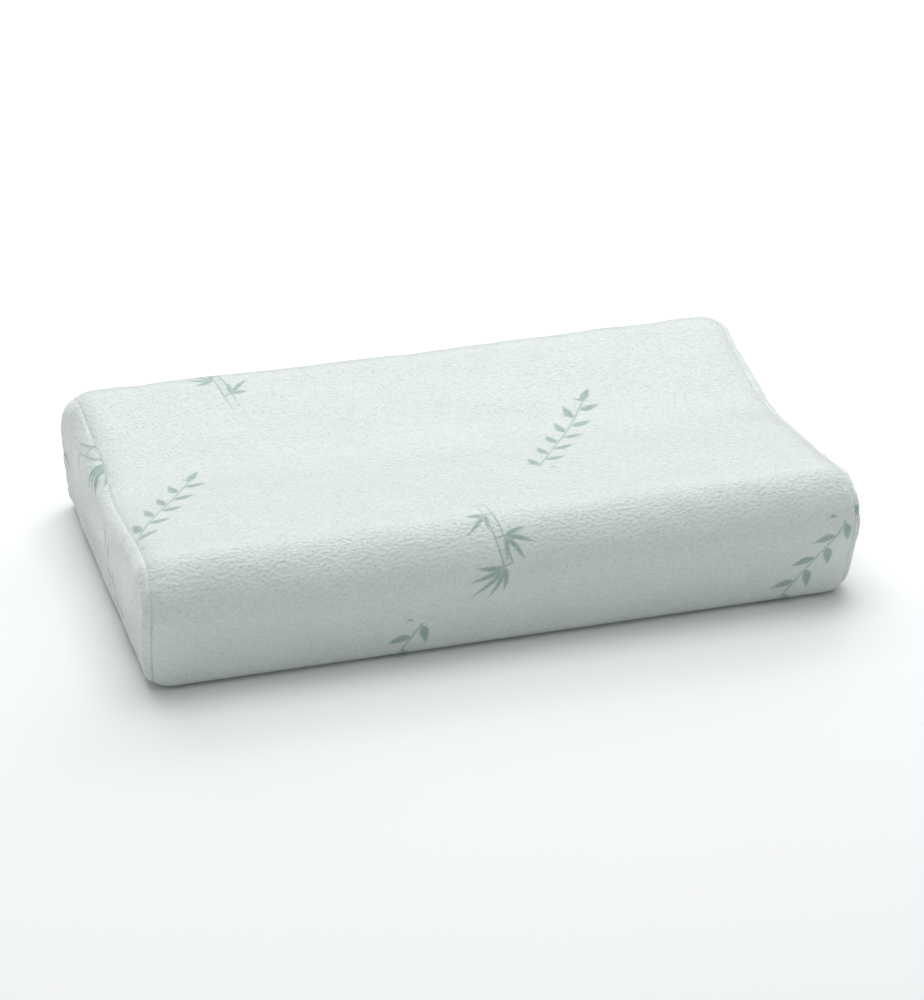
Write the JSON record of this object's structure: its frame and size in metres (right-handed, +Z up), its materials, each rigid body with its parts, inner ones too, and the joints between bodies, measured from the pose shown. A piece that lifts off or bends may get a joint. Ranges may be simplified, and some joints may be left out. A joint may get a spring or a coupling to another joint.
{
  "type": "bed pillow",
  "caption": "Contour bed pillow: a two-lobed foam core in a sewn liner and a white knitted cover with green leaf sprigs, closed by a coil zip along the back.",
  "frame": {"origin": "on the flat underside, below the middle of the filled cover", "axes": "+X along the length to the pillow's right end as seen from the front, -Y to the front (low lobe), +Y to the back (high lobe, with the zip), +Z up"},
  "size_m": [0.5, 0.3089, 0.097],
  "materials": {
    "cover_knit": "blistered jacquard knit, white with green sprigs",
    "liner_knit": "thin plain white knit",
    "pillow_foam": "open-celled cream foam",
    "sewing_thread": "white polyester thread",
    "zip_webbing": "woven herringbone tape",
    "zip_nylon": "white nylon coil",
    "slider_enamel": "white enamel on die-cast zinc",
    "label_satin": "blank white satin ribbon"
  },
  "bodies": {
    "pillow": {"cover_closing_stitching_left": "sewing_thread", "cover_closing_stitching_right": "sewing_thread", "cover_end_left": "cover_knit", "cover_end_right": "cover_knit", "cover_end_stitching_left": "sewing_thread", "cover_end_stitching_right": "sewing_thread", "cover_wrap": "cover_knit", "foam_core": "pillow_foam", "liner_closing_stitching": "sewing_thread", "liner_end_left": "liner_knit", "liner_end_right": "liner_knit", "liner_end_stitching_left": "sewing_thread", "liner_end_stitching_right": "sewing_thread", "liner_wrap": "liner_knit", "zip_bartack_left": "sewing_thread", "zip_bartack_right": "sewing_thread", "zip_coil_lower": "zip_nylon", "zip_coil_upper": "zip_nylon", "zip_stitching_lower": "sewing_thread", "zip_stitching_upper": "sewing_thread", "zip_tape_lower": "zip_webbing", "zip_tape_upper": "zip_webbing"},
    "slider": {"zip_slider": "slider_enamel"},
    "pull_tab": {"zip_pull_tab": "slider_enamel"},
    "label": {"care_label": "label_satin"}
  },
  "joints": [
    {"name": "zip_slider_travel", "type": "slide", "parent": "pillow", "child": "slider", "axis": [-1, 0, 0], "range_m": [0, 0.36]},
    {"name": "pull_tab_flip", "type": "hinge", "parent": "slider", "child": "pull_tab", "pos_m": [0.1803, 0.1558, 0.041], "axis": [0, 0, -1], "range_deg": [0, 180]},
    {"name": "care_label_flap", "type": "hinge", "parent": "pillow", "child": "label", "pos_m": [-0.221, 0.1523, 0.041], "axis": [1, 0, 0], "range_deg": [0, 150]}
  ]
}
